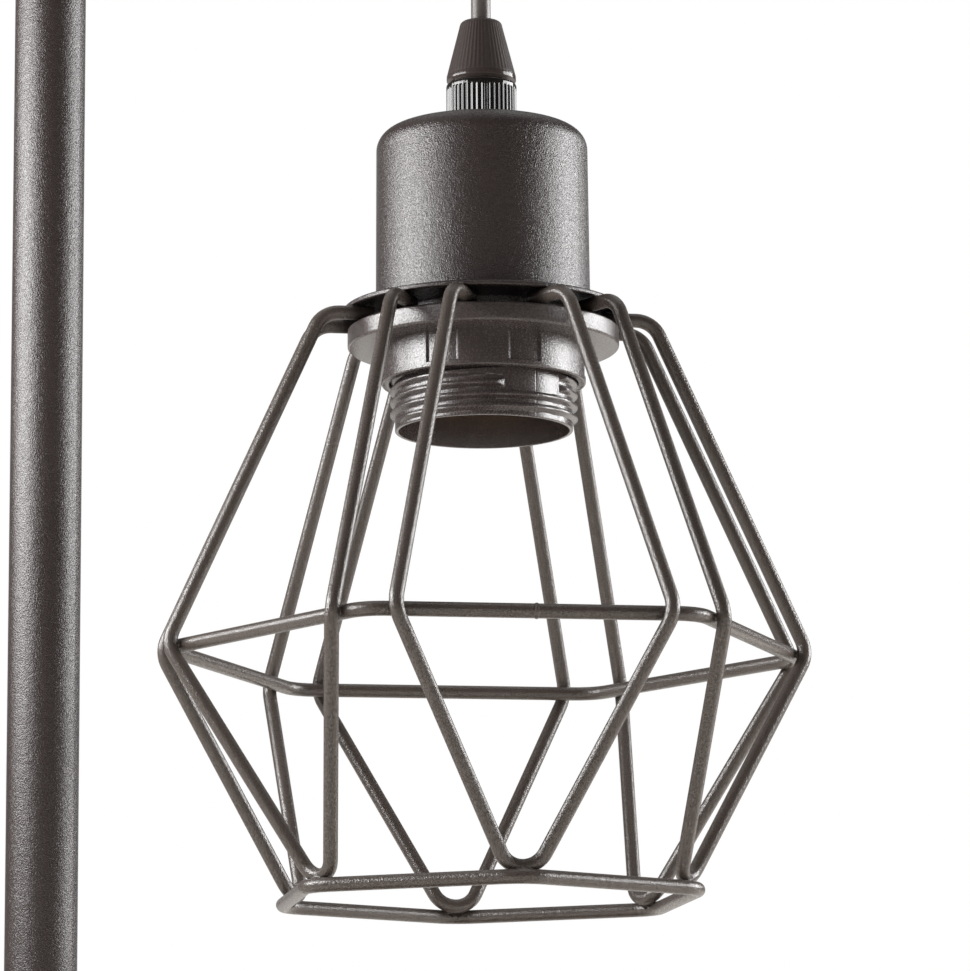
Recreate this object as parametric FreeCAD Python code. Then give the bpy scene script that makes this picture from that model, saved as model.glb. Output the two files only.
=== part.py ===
import FreeCAD, Part
import math
import os

from FreeCAD import Rotation, Vector

# Table lamp: a bent tube stands on a weighted round base and carries a wire cage pendant on a short flex.
# Millimetres, +Z up, origin on the table under the base centre, arm along +X.

# Stand
lamp_height = 480.0
arm_reach = 110.0
pole_offset = 50.0
arm_overhang = 16.0
tube_diameter = 16.0
tube_wall = 1.2
tube_bend_radius = 45.0

# Base
base_diameter = 200.0
base_height = 26.0
cover_wall = 1.2
cover_edge_radius = 6.0
rim_lift = 1.0
pad_thickness = 2.0
pad_margin = 6.0
base_plate_thickness = 1.5
base_plate_clearance = 0.3
weight_thickness = 9.0
weight_clearance = 4.0
post_count = 3
post_circle = 150.0
post_diameter = 12.0
plate_screw_diameter = 4.0
plate_screw_head = 7.0
plate_screw_length = 9.0
plate_screw_clearance = 0.1

# Pole fixing
nipple_diameter = 9.8
nipple_bore = 7.0
nipple_stub = 12.0
nipple_thread_clearance = 0.1
nipple_hole_clearance = 0.3
insert_length = 16.0
insert_clearance = 0.05
nut_across_flats = 14.0
nut_height = 5.0
nut_thread_tail = 0.5
washer_diameter = 26.0
washer_thickness = 2.0
nut_pocket_depth = 6.0
nut_pocket_clearance = 1.5

# Lead and its glands
flex_diameter = 4.3
flex_bore_clearance = 0.06
lead_height = 6.8
gland_bore = 5.0
gland_neck = 8.0
gland_flange = 10.8
gland_flange_thickness = 1.5
gland_edge = 0.6
gland_clearance = 0.15
bush_neck = 7.8
bush_flange = 11.0
bush_flange_drop = 2.0
bush_inner_stand = 1.5
bush_edge = 0.8
bush_clearance = 0.1
end_cap_spigot = 8.0
end_cap_head = 2.0
end_cap_edge = 1.4
end_cap_clearance = 0.1

# Pendant flex
free_flex = 64.2
pivot_drop = 1.5
pivot_clearance = 0.3

# Cord grip
grip_nut_height = 14.0
grip_nut_foot_diameter = 15.0
grip_nut_top_diameter = 9.4
grip_nut_lip = 1.2
grip_nut_crown = 1.0
grip_nut_flutes = 48
collar_diameter = 15.2
collar_height = 10.5
collar_ribs = 42
flute_depth = 0.35
collet_diameter = 9.6
collet_height = 9.0
collet_slot = 1.2
collet_clearance = 0.2
stem_diameter = 9.8
stem_length = 11.0
stem_clearance = 0.1

# Cup
cup_diameter = 45.4
cup_height = 39.5
cup_wall = 1.0
cup_edge_radius = 4.5
cup_flare = 0.25

# Lampholder
skirt_diameter = 40.0
skirt_drop = 26.4
skirt_lip_diameter = 37.6
skirt_lip_height = 1.2
skirt_lip_edge = 0.3
skirt_bore = 35.8
skirt_shoulder = 8.0
spigot_diameter = 35.2
spigot_wall = 1.6
spigot_height = 6.0
ledge_rise = 5.0
ledge_thickness = 3.0
ledge_bore = 30.0
cap_wall = 1.5
cap_clearance = 0.15
cap_dome_drop = 7.5
cap_dome_radius = 7.0
cap_neck_diameter = 15.0
cap_seat_clearance = 0.1
carrier_thickness = 10.0
carrier_clearance = 0.1
carrier_recess_diameter = 22.0
carrier_recess_depth = 5.0
carrier_groove_depth = 2.0
shell_bore = 26.6
shell_wall = 0.7
shell_length = 23.0
contact_width = 5.0
contact_strip = 0.5
contact_drop = 4.0
contact_foot = 5.0
contact_reach = 8.0
terminal_length = 6.0
terminal_width = 5.0
terminal_height = 6.0
terminal_spacing = 16.0
terminal_screw_diameter = 3.0
terminal_screw_length = 4.0
wire_diameter = 1.6
wire_clearance = 0.1
wire_spread = 2.0
wire_bend_radius = 1.2

# Shade ring
ring_flange_diameter = 58.0
ring_flange_height = 4.1
ring_flange_edge = 0.5
ring_height = 11.9
ring_grip_diameter = 43.6
ring_thread_clearance = 0.2
ring_recess_depth = 0.5
ring_recess_angle = 19.5
ring_recess_lip = 1.2
ring_recess_centres = (23.8, 90.0, 156.2, 203.8, 270.0, 336.2)
ring_angle = -63.2

# Cage
cage_wire = 3.0
cage_angle = 36.1
cage_sides = 6
cage_plate_diameter = 60.0
cage_plate_thickness = 1.2
cage_plate_clearance = 0.6
weld_gap = 0.08
leg_offset = 6.7
tail_start = 24.5
top_corner_reach = 35.5
belt_corner_reach = 68.0
belt_corner_drop = 74.0
foot_reach = 43.6
foot_drop = 123.4
top_bend_radius = 5.5
belt_bend_radius = 6.0
foot_bend_radius = 5.0
ring_bend_radius = 8.0
foot_seat_angle = 45.0

# Levels
pole_x = -pole_offset
pendant_x = arm_reach - pole_offset
tube_radius = tube_diameter / 2
tube_bore_radius = tube_radius - tube_wall
arm_z = lamp_height - tube_radius
flex_radius = flex_diameter / 2
plate_top_z = pad_thickness + base_plate_thickness
weight_top_z = base_height - cover_wall
weight_bottom_z = weight_top_z - weight_thickness
nut_seat_z = weight_bottom_z + nut_pocket_depth
nut_top_z = nut_seat_z - washer_thickness
nipple_bottom_z = nut_top_z - nut_height - nut_thread_tail
bush_face_z = arm_z - tube_radius - bush_flange_drop
pivot_z = bush_face_z - pivot_drop
grip_top_z = bush_face_z - free_flex
collar_top_z = grip_top_z - grip_nut_height
cup_top_z = collar_top_z - collar_height
stem_end_z = cup_top_z - stem_length
cage_z = cup_top_z - cup_height
skirt_shoulder_z = cage_z + skirt_shoulder
ledge_z = cage_z + ledge_rise
carrier_top_z = ledge_z + carrier_thickness
contact_z = ledge_z + carrier_recess_depth
cage_plate_under_z = cage_z - cage_plate_thickness
tail_z = cage_plate_under_z - weld_gap - cage_wire / 2
ring_top_z = tail_z - cage_wire / 2 - weld_gap


# Rounds each corner of a line of points with a tangent arc of the radius given for that corner.
def rounded_path(points, radii):
    edges = []
    start = points[0]
    for before, corner, after, radius in zip(points, points[1:], points[2:], radii):
        to_before = (before - corner).normalize()
        to_after = (after - corner).normalize()
        half = to_before.getAngle(to_after) / 2
        if radius > 0:
            inset = radius / math.tan(half)
            middle = (to_before + to_after).normalize() * (radius / math.sin(half) - radius)
            arc_start = corner + to_before * inset
            arc_end = corner + to_after * inset
            edges.append(Part.LineSegment(start, arc_start).toShape())
            edges.append(Part.Arc(arc_start, corner + middle, arc_end).toShape())
            start = arc_end
        else:
            edges.append(Part.LineSegment(start, corner).toShape())
            start = corner
    edges.append(Part.LineSegment(start, points[-1]).toShape())
    return edges


# Rounds a closed outline, beginning and ending in the middle of its last side.
def rounded_outline(points, radii):
    middle = (points[-1] + points[0]) * 0.5
    return rounded_path([middle] + points + [middle], radii)


# Turns a half section of (radius, height) or (radius, height, corner radius) about a vertical axis.
def turned(section, x=0.0):
    points = [Vector(x + corner[0], 0, corner[1]) for corner in section]
    radii = [corner[2] if len(corner) > 2 else 0.0 for corner in section]
    face = Part.Face(Part.Wire(rounded_outline(points, radii)))
    return face.revolve(Vector(x, 0, 0), Vector(0, 0, 1), 360)


# Round bar or wire along a path of tangent lines and arcs.
def bar_along(edges, radius):
    path = Part.Wire(edges)
    start = edges[0].Vertexes[0].Point
    heading = edges[0].tangentAt(edges[0].FirstParameter)
    section = Part.Wire(Part.Circle(start, heading, radius).toShape())
    return path.makePipeShell([section], True, False)


def upright(radius, bottom, top, x=0.0, y=0.0):
    return Part.makeCylinder(radius, top - bottom, Vector(x, y, bottom))


def polar(radius, degrees, z, x=0.0):
    angle = math.radians(degrees)
    return Vector(x + radius * math.cos(angle), radius * math.sin(angle), z)


# Closed outline with pointed ribs round a circle.
def ribbed_outline(radius, depth, count, z, x):
    points = []
    for step in range(2 * count):
        reach = radius - depth * (step % 2)
        points.append(polar(reach, 180.0 * step / count, z, x))
    return Part.makePolygon(points + points[:1])


def turned_copy(shape, degrees, x=0.0):
    copy = shape.copy()
    copy.rotate(Vector(x, 0, 0), Vector(0, 0, 1), degrees)
    return copy


def ring_of(shape, count):
    return [turned_copy(shape, 360.0 * step / count) for step in range(count)]


# Base: pressed cover, iron weight with posts, bottom plate on its screws, and a soft pad

def base_cover():
    outer = base_diameter / 2
    inner = outer - cover_wall
    hole = nipple_diameter / 2 + nipple_hole_clearance
    dish = turned([
        (0, base_height), (outer, base_height, cover_edge_radius), (outer, rim_lift),
        (inner, rim_lift), (inner, weight_top_z, cover_edge_radius - cover_wall), (0, weight_top_z)])
    dish = dish.cut(upright(hole, rim_lift, base_height + 1, pole_x))
    slot_radius = gland_neck / 2 + gland_clearance
    slot_depth = 2 * cover_wall
    slot = Part.makeCylinder(slot_radius, slot_depth, Vector(-outer, 0, lead_height), Vector(1, 0, 0))
    mouth = Part.makeBox(slot_depth, 2 * slot_radius, lead_height, Vector(-outer, -slot_radius, 0))
    return dish.cut(slot.fuse(mouth))


def base_weight():
    radius = base_diameter / 2 - cover_wall - weight_clearance - cover_edge_radius / 2
    body = upright(radius, weight_bottom_z, weight_top_z)
    post = upright(post_diameter / 2, plate_top_z, weight_top_z, post_circle / 2)
    body = body.fuse(ring_of(post, post_count))
    pocket = washer_diameter / 2 + nut_pocket_clearance
    body = body.cut(upright(pocket, plate_top_z, nut_seat_z, pole_x))
    hole = nipple_diameter / 2 + nipple_hole_clearance
    body = body.cut(upright(hole, plate_top_z, weight_top_z, pole_x))
    pilot = upright(plate_screw_diameter / 2 + plate_screw_clearance, plate_top_z,
                    plate_top_z + plate_screw_length, post_circle / 2)
    for screw_hole in ring_of(pilot, post_count):
        body = body.cut(screw_hole)
    return body.removeSplitter()


def base_plate():
    radius = base_diameter / 2 - cover_wall - base_plate_clearance
    disc = upright(radius, pad_thickness, plate_top_z)
    width = gland_flange + 2 * gland_flange_thickness
    notch_depth = 2 * gland_flange_thickness + cover_wall
    notch = Part.makeBox(notch_depth, width, base_plate_thickness,
                         Vector(-radius, -width / 2, pad_thickness))
    disc = disc.cut(notch)
    for countersink in ring_of(plate_screw(plate_screw_clearance), post_count):
        disc = disc.cut(countersink)
    return disc


# Countersunk screw, its head flush with the plate's underside.
def plate_screw(growth):
    tip_z = plate_top_z + plate_screw_length - growth - plate_screw_clearance
    shank = plate_screw_diameter / 2 + growth
    head = plate_screw_head / 2 + growth
    screw = turned([
        (0, pad_thickness), (head, pad_thickness), (shank, plate_top_z), (shank, tip_z), (0, tip_z)])
    screw.translate(Vector(post_circle / 2, 0, 0))
    return screw


def plate_screws():
    return Part.makeCompound(ring_of(plate_screw(0.0), post_count))


def base_pad():
    return upright(base_diameter / 2 - pad_margin, 0, pad_thickness)


# Lead inlet: a grommet in the slot of the cover's rim at the back
def lead_gland():
    outer = base_diameter / 2
    flange = gland_flange / 2
    inside = cover_wall + 2 * gland_clearance
    profile = [
        (gland_bore / 2, -gland_flange_thickness), (flange, -gland_flange_thickness, gland_edge),
        (flange, 0), (gland_neck / 2, 0), (gland_neck / 2, inside), (flange, inside),
        (flange, inside + gland_flange_thickness), (gland_bore / 2, inside + gland_flange_thickness)]
    gland = turned(profile)
    gland.rotate(Vector(0, 0, 0), Vector(0, 1, 0), 90)
    gland.translate(Vector(-outer - gland_clearance, 0, lead_height))
    inner = outer - cover_wall
    wall = turned([(inner, 0), (outer, 0), (outer, base_height), (inner, base_height)])
    neck_start = Vector(-outer - gland_flange, 0, lead_height)
    neck = Part.makeCylinder(gland_neck / 2, 4 * gland_flange, neck_start, Vector(1, 0, 0))
    return gland.cut(wall.cut(neck))


# Pole fixing: plug in the tube's foot, threaded nipple, washer and nut under the weight

def pole_foot_plug():
    radius = tube_bore_radius - insert_clearance
    bore = nipple_diameter / 2 + nipple_thread_clearance / 2
    top_z = base_height + insert_length
    return turned([(bore, base_height), (radius, base_height), (radius, top_z), (bore, top_z)], pole_x)


def threaded_nipple():
    radius = nipple_diameter / 2
    top_z = base_height + nipple_stub
    return turned([
        (nipple_bore / 2, nipple_bottom_z), (radius, nipple_bottom_z), (radius, top_z),
        (nipple_bore / 2, top_z)], pole_x)


def pole_washer():
    bore = nipple_diameter / 2 + nipple_hole_clearance
    radius = washer_diameter / 2
    return turned([(bore, nut_top_z), (radius, nut_top_z), (radius, nut_seat_z), (bore, nut_seat_z)], pole_x)


def pole_nut():
    corner = nut_across_flats / math.sqrt(3)
    bottom_z = nut_top_z - nut_height
    hexagon = [polar(corner, 60.0 * step, bottom_z, pole_x) for step in range(6)]
    prism = Part.Face(Part.makePolygon(hexagon + hexagon[:1])).extrude(Vector(0, 0, nut_height))
    flat = nut_across_flats / 2
    chamfer = turned([
        (0, bottom_z), (flat, bottom_z), (corner, bottom_z + corner - flat), (corner, nut_top_z),
        (0, nut_top_z)], pole_x)
    bore = nipple_diameter / 2 + nipple_thread_clearance / 2
    return prism.common(chamfer).cut(upright(bore, bottom_z, nut_top_z, pole_x))


# Stand tube: pole, bend and arm in one length, closed at the end by a plug

def stand_path(lift):
    corner = Vector(pole_x, 0, arm_z)
    foot = Vector(pole_x, 0, base_height - lift)
    end = Vector(pendant_x + arm_overhang + lift, 0, arm_z)
    return rounded_path([foot, corner, end], [tube_bend_radius])


def pole():
    tube = bar_along(stand_path(0.0), tube_radius).cut(bar_along(stand_path(1.0), tube_bore_radius))
    hole = upright(bush_neck / 2 + bush_clearance, bush_face_z, arm_z, pendant_x)
    return tube.cut(hole)


def arm_end_cap():
    spigot = tube_bore_radius - end_cap_clearance
    wall = tube_wall + end_cap_clearance
    plug = turned([
        (0, end_cap_head), (tube_radius, end_cap_head, end_cap_edge), (tube_radius, 0), (spigot, 0),
        (spigot, -end_cap_spigot), (spigot - wall, -end_cap_spigot), (spigot - wall, 0), (0, 0)])
    plug.rotate(Vector(0, 0, 0), Vector(0, 1, 0), 90)
    plug.translate(Vector(pendant_x + arm_overhang, 0, arm_z))
    return plug


def cord_bush():
    rim = bush_flange / 2
    saddle = turned([(0, bush_face_z), (rim, bush_face_z, bush_edge), (rim, arm_z), (0, arm_z)], pendant_x)
    arm_start = Vector(pendant_x - bush_flange, 0, arm_z)
    arm = Part.makeCylinder(tube_radius, 2 * bush_flange, arm_start, Vector(1, 0, 0))
    neck_top_z = arm_z - tube_bore_radius + bush_inner_stand
    neck = upright(bush_neck / 2, bush_face_z, neck_top_z, pendant_x)
    bore = upright(flex_radius + flex_bore_clearance, bush_face_z, neck_top_z, pendant_x)
    return saddle.cut(arm).fuse(neck).cut(bore).removeSplitter()


# Lead: held by the gland, the tube and the bush, then free down to the grip

def pivot_socket():
    return Part.makeSphere(flex_radius + pivot_clearance, Vector(pendant_x, 0, pivot_z))


def inner_lead():
    start = Vector(-base_diameter / 2 + cover_wall + gland_flange, 0, lead_height)
    foot = Vector(pole_x, 0, lead_height)
    bend = Vector(pole_x, 0, arm_z)
    drop = Vector(pendant_x, 0, arm_z)
    end = Vector(pendant_x, 0, pivot_z)
    foot_radius = nipple_bottom_z - lead_height
    drop_radius = tube_bore_radius - bush_inner_stand
    path = rounded_path([start, foot, bend, drop, end], [foot_radius, tube_bend_radius, drop_radius])
    return bar_along(path, flex_radius).cut(pivot_socket())


def flex_bend():
    return Part.makeSphere(flex_radius, Vector(pendant_x, 0, pivot_z))


def pendant_flex():
    return upright(flex_radius, stem_end_z, pivot_z, pendant_x).cut(pivot_socket())


# Cord grip: fluted cone nut on a slotted collet, ribbed collar and threaded stem

def cord_grip_nut():
    foot = grip_nut_foot_diameter / 2
    top = grip_nut_top_diameter / 2
    lip_z = collar_top_z + grip_nut_lip
    crown_z = grip_top_z - grip_nut_crown
    lower = ribbed_outline(foot, flute_depth, grip_nut_flutes, lip_z, pendant_x)
    upper = ribbed_outline(top, flute_depth, grip_nut_flutes, crown_z, pendant_x)
    fluted = Part.makeLoft([lower, upper], True, True)
    lip = foot - flute_depth
    bevel = turned([
        (0, collar_top_z), (lip - flute_depth, collar_top_z), (lip, lip_z - flute_depth), (lip, lip_z),
        (0, lip_z)], pendant_x)
    crown = top - flute_depth
    cap = turned([
        (0, crown_z), (crown, crown_z), (crown - grip_nut_crown, grip_top_z), (0, grip_top_z)], pendant_x)
    cavity = upright(collet_diameter / 2 + collet_clearance, collar_top_z,
                     collar_top_z + collet_height + collet_clearance, pendant_x)
    bore = upright(flex_radius + flex_bore_clearance, collar_top_z, grip_top_z, pendant_x)
    return fluted.fuse([bevel, cap]).cut(cavity).cut(bore).removeSplitter()


def cord_grip_body():
    ribs = Part.Face(ribbed_outline(collar_diameter / 2, flute_depth, collar_ribs, cup_top_z, pendant_x))
    collar = ribs.extrude(Vector(0, 0, collar_height))
    collet_top_z = collar_top_z + collet_height
    collet = upright(collet_diameter / 2, collar_top_z, collet_top_z, pendant_x)
    slot = Part.makeBox(collet_diameter, collet_slot, collet_height,
                        Vector(pendant_x - collet_diameter / 2, -collet_slot / 2, collar_top_z))
    for degrees in (45.0, 135.0):
        collet = collet.cut(turned_copy(slot, degrees, pendant_x))
    stem = upright(stem_diameter / 2, stem_end_z, cup_top_z, pendant_x)
    bore = upright(flex_radius + flex_bore_clearance, stem_end_z, collet_top_z, pendant_x)
    return collar.fuse([collet, stem]).cut(bore).removeSplitter()


# Cup: spun steel, closed on top round the grip's stem, resting on the cage plate
def cup():
    hole = stem_diameter / 2 + stem_clearance
    upper = cup_diameter / 2
    lower = upper + cup_flare
    inner_top_z = cup_top_z - cup_wall
    return turned([
        (hole, cup_top_z), (upper, cup_top_z, cup_edge_radius), (lower, cage_z), (lower - cup_wall, cage_z),
        (upper - cup_wall, inner_top_z, cup_edge_radius - cup_wall), (hole, inner_top_z)], pendant_x)


# Lampholder: cap, threaded skirt, contact carrier with its terminals, and the lamp cap's screw shell

def lampholder_cap():
    bore = spigot_diameter / 2 + cap_clearance
    outer = bore + cap_wall
    neck = cap_neck_diameter / 2
    neck_bore = stem_diameter / 2 + stem_clearance / 2
    neck_top_z = cup_top_z - cup_wall - cap_seat_clearance
    dome_z = cup_top_z - cap_dome_drop
    return turned([
        (neck_bore, neck_top_z), (neck, neck_top_z), (neck, dome_z), (outer, dome_z, cap_dome_radius),
        (outer, skirt_shoulder_z), (bore, skirt_shoulder_z),
        (bore, dome_z - cap_wall, cap_dome_radius - cap_wall), (neck_bore, dome_z - cap_wall)], pendant_x)


def lampholder_skirt():
    outer = skirt_diameter / 2
    lip = skirt_lip_diameter / 2
    bore = skirt_bore / 2
    spigot = spigot_diameter / 2
    seat = spigot - spigot_wall
    mouth_z = cage_z - skirt_drop
    lip_z = mouth_z + skirt_lip_height
    spigot_z = skirt_shoulder_z + spigot_height
    under_z = ledge_z - ledge_thickness
    return turned([
        (bore, mouth_z), (lip, mouth_z, skirt_lip_edge), (lip, lip_z), (outer, lip_z),
        (outer, skirt_shoulder_z), (spigot, skirt_shoulder_z), (spigot, spigot_z), (seat, spigot_z),
        (seat, ledge_z), (ledge_bore / 2, ledge_z), (ledge_bore / 2, under_z), (bore, under_z)], pendant_x)


def contact_carrier():
    radius = spigot_diameter / 2 - spigot_wall - carrier_clearance
    disc = upright(radius, ledge_z, carrier_top_z, pendant_x)
    recess = upright(carrier_recess_diameter / 2, ledge_z, contact_z, pendant_x)
    groove_z = carrier_top_z - carrier_groove_depth
    groove = Part.makeBox(terminal_length, 2 * radius, carrier_groove_depth,
                          Vector(pendant_x - terminal_length / 2, -radius, groove_z))
    return disc.cut(recess).cut(groove)


def screw_shell():
    bore = shell_bore / 2
    outer = bore + shell_wall
    mouth_z = ledge_z - shell_length
    return turned([(bore, mouth_z), (outer, mouth_z), (outer, ledge_z), (bore, ledge_z)], pendant_x)


def centre_contact():
    heel = pendant_x - contact_reach
    bend = heel + contact_foot
    tip = pendant_x + contact_reach / 2
    low_z = contact_z - contact_drop
    under_z = contact_z - contact_strip
    outline = [
        Vector(heel, 0, contact_z), Vector(bend, 0, contact_z), Vector(tip, 0, low_z + contact_strip),
        Vector(tip, 0, low_z), Vector(bend, 0, under_z), Vector(heel, 0, under_z)]
    strip = Part.Face(Part.makePolygon(outline + outline[:1])).extrude(Vector(0, contact_width, 0))
    strip.translate(Vector(0, -contact_width / 2, 0))
    return strip


def terminals():
    blocks = []
    top_z = carrier_top_z + terminal_height
    for side in (-1, 1):
        centre = pendant_x + side * terminal_spacing / 2
        block = Part.makeBox(terminal_length, terminal_width, terminal_height,
                             Vector(centre - terminal_length / 2, -terminal_width / 2, carrier_top_z))
        hole = upright(wire_diameter / 2 + wire_clearance, carrier_top_z, top_z, centre)
        thread_start = Vector(centre, 0, carrier_top_z + terminal_height / 2)
        thread_radius = terminal_screw_diameter / 2
        thread = Part.makeCylinder(thread_radius, terminal_width / 2, thread_start, Vector(0, -1, 0))
        blocks.append(block.cut(hole).cut(thread))
    return Part.makeCompound(blocks)


def terminal_screws():
    screws = []
    for side in (-1, 1):
        centre = pendant_x + side * terminal_spacing / 2
        start = Vector(centre, -wire_diameter / 2 - wire_clearance, carrier_top_z + terminal_height / 2)
        radius = terminal_screw_diameter / 2 - wire_clearance / 2
        screw = Part.makeCylinder(radius, terminal_screw_length, start, Vector(0, -1, 0))
        slot = Part.makeBox(2 * radius, contact_strip, contact_strip,
                            start + Vector(-radius, -terminal_screw_length, -contact_strip / 2))
        screws.append(screw.cut(slot))
    return Part.makeCompound(screws)


def holder_wires():
    wires = []
    start_z = stem_end_z - pivot_clearance
    top_z = carrier_top_z + terminal_height
    bend_z = (start_z + top_z) / 2
    for side in (-1, 1):
        near = pendant_x + side * wire_spread / 2
        far = pendant_x + side * terminal_spacing / 2
        route = [Vector(near, 0, start_z), Vector(near, 0, start_z - wire_diameter), Vector(far, 0, bend_z),
                 Vector(far, 0, carrier_top_z + terminal_height / 2)]
        wires.append(bar_along(rounded_path(route, [wire_bend_radius] * 2), wire_diameter / 2))
    return Part.makeCompound(wires)


# Shade ring: flanged nut with six shallow finger recesses, clamping the cage up against the cup
def shade_ring():
    bore = skirt_diameter / 2 + ring_thread_clearance
    flange = ring_flange_diameter / 2
    grip = ring_grip_diameter / 2
    rim_z = ring_top_z - ring_flange_height
    foot_z = ring_top_z - ring_height
    ring = turned([
        (bore, ring_top_z), (flange, ring_top_z, ring_flange_edge), (flange, rim_z, ring_flange_edge),
        (grip, rim_z), (grip, foot_z), (bore, foot_z)], pendant_x)
    recess = Part.makePlane(flange, ring_height - ring_flange_height - ring_recess_lip,
                            Vector(pendant_x + grip - ring_recess_depth, 0, rim_z), Vector(0, 1, 0),
                            Vector(1, 0, 0))
    wedge = recess.revolve(Vector(pendant_x, 0, 0), Vector(0, 0, 1), ring_recess_angle)
    for centre in ring_recess_centres:
        ring = ring.cut(turned_copy(wedge, ring_angle + centre - ring_recess_angle / 2, pendant_x))
    return ring


# Cage: six bent wire loops welded under a plate, a belt ring inside their knees and a ring under their feet

def loop_vector(outward, sideways, z, turn):
    local = Vector(outward, sideways, z)
    return Rotation(Vector(0, 0, 1), turn).multVec(local) + Vector(pendant_x, 0, 0)


# Corner points of one half loop in its own frame: outward from the axis, sideways from its middle.
def half_loop():
    half_side = math.radians(180.0 / cage_sides)
    along = Vector(math.cos(half_side), math.sin(half_side), 0)
    across = Vector(math.sin(half_side), -math.cos(half_side), 0)
    tail = along * tail_start + across * leg_offset + Vector(0, 0, tail_z)
    top = along * top_corner_reach + across * leg_offset + Vector(0, 0, tail_z)
    belt = along * belt_corner_reach + across * leg_offset + Vector(0, 0, cage_z - belt_corner_drop)
    return tail, top, belt


# Sharp corner of the foot, below the point that its bend reaches.
def foot_corner(belt):
    apex_x = foot_reach
    apex_z = cage_z - foot_drop
    slope = Vector(apex_x - belt.x, 0, apex_z - belt.z)
    to_centre = slope.Length - foot_bend_radius
    half_angle = math.atan2(belt.y, to_centre) - math.asin(foot_bend_radius / math.hypot(belt.y, to_centre))
    depth = belt.y / math.tan(half_angle)
    return Vector(belt.x, 0, belt.z) + slope.normalize() * depth


# Outermost point of the knee's bend, seen along the belt side that the loop spans.
def knee_point(top, belt, foot):
    to_top = (top - belt).normalize()
    to_foot = (foot - belt).normalize()
    half = to_top.getAngle(to_foot) / 2
    centre = belt + (to_top + to_foot).normalize() * (belt_bend_radius / math.sin(half))
    normal = to_top.cross(to_foot).normalize()
    outward = Vector(1, 0, 0) - normal * normal.x
    return centre + outward.normalize() * belt_bend_radius


def cage_loop(number):
    tail, top, belt = half_loop()
    foot = foot_corner(belt)
    turn = cage_angle + 360.0 * (number - 0.5) / cage_sides
    half = [tail, top, belt]
    mirrored = [Vector(point.x, -point.y, point.z) for point in reversed(half)]
    points = [loop_vector(point.x, point.y, point.z, turn) for point in half + [foot] + mirrored]
    radii = [top_bend_radius, belt_bend_radius, foot_bend_radius, belt_bend_radius, top_bend_radius]
    return bar_along(rounded_path(points, radii), cage_wire / 2)


def hexagon_ring(corner_radius, z, turn):
    step = 360.0 / cage_sides
    corners = [loop_vector(corner_radius, 0, z, turn + side * step) for side in range(cage_sides)]
    return bar_along(rounded_outline(corners, [ring_bend_radius] * cage_sides), cage_wire / 2)


def cage_belt_ring():
    tail, top, belt = half_loop()
    knee = knee_point(top, belt, foot_corner(belt))
    apothem = knee.x - cage_wire - weld_gap
    return hexagon_ring(apothem / math.cos(math.pi / cage_sides), knee.z, cage_angle)


def cage_bottom_ring():
    seat = math.radians(foot_seat_angle)
    reach = foot_reach + (cage_wire + weld_gap) * math.cos(seat)
    z = cage_z - foot_drop - (cage_wire + weld_gap) * math.sin(seat)
    corner = reach + ring_bend_radius * (1 / math.cos(math.pi / cage_sides) - 1)
    return hexagon_ring(corner, z, cage_angle + 180.0 / cage_sides)


def cage_plate():
    hole = skirt_diameter / 2 + cage_plate_clearance
    rim = cage_plate_diameter / 2
    edge = cage_plate_thickness / 3
    return turned([
        (hole, cage_plate_under_z), (rim, cage_plate_under_z, edge), (rim, cage_z, edge),
        (hole, cage_z)], pendant_x)


pieces = {
    "base_cover": base_cover(),
    "base_weight": base_weight(),
    "base_plate": base_plate(),
    "plate_screws": plate_screws(),
    "base_pad": base_pad(),
    "lead_gland": lead_gland(),
    "pole_foot_plug": pole_foot_plug(),
    "threaded_nipple": threaded_nipple(),
    "pole_washer": pole_washer(),
    "pole_nut": pole_nut(),
    "pole": pole(),
    "arm_end_cap": arm_end_cap(),
    "cord_bush": cord_bush(),
    "inner_lead": inner_lead(),
    "flex_bend": flex_bend(),
    "pendant_flex": pendant_flex(),
    "cord_grip_nut": cord_grip_nut(),
    "cord_grip_body": cord_grip_body(),
    "cup": cup(),
    "lampholder_cap": lampholder_cap(),
    "lampholder_skirt": lampholder_skirt(),
    "contact_carrier": contact_carrier(),
    "screw_shell": screw_shell(),
    "centre_contact": centre_contact(),
    "terminals": terminals(),
    "terminal_screws": terminal_screws(),
    "holder_wires": holder_wires(),
    "shade_ring": shade_ring(),
    "cage_plate": cage_plate(),
    "cage_belt_ring": cage_belt_ring(),
    "cage_bottom_ring": cage_bottom_ring(),
}
for number in range(1, cage_sides + 1):
    pieces[f"cage_loop_{number}"] = cage_loop(number)

os.makedirs("parts", exist_ok=True)
for name, shape in pieces.items():
    print(name, len(shape.Solids), shape.isValid(), round(shape.Volume, 1))
    shape.exportStep(f"parts/{name}.step")
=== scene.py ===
import math

import bmesh
import bpy
from mathutils import Matrix, Vector
from mathutils.bvhtree import BVHTree


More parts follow.
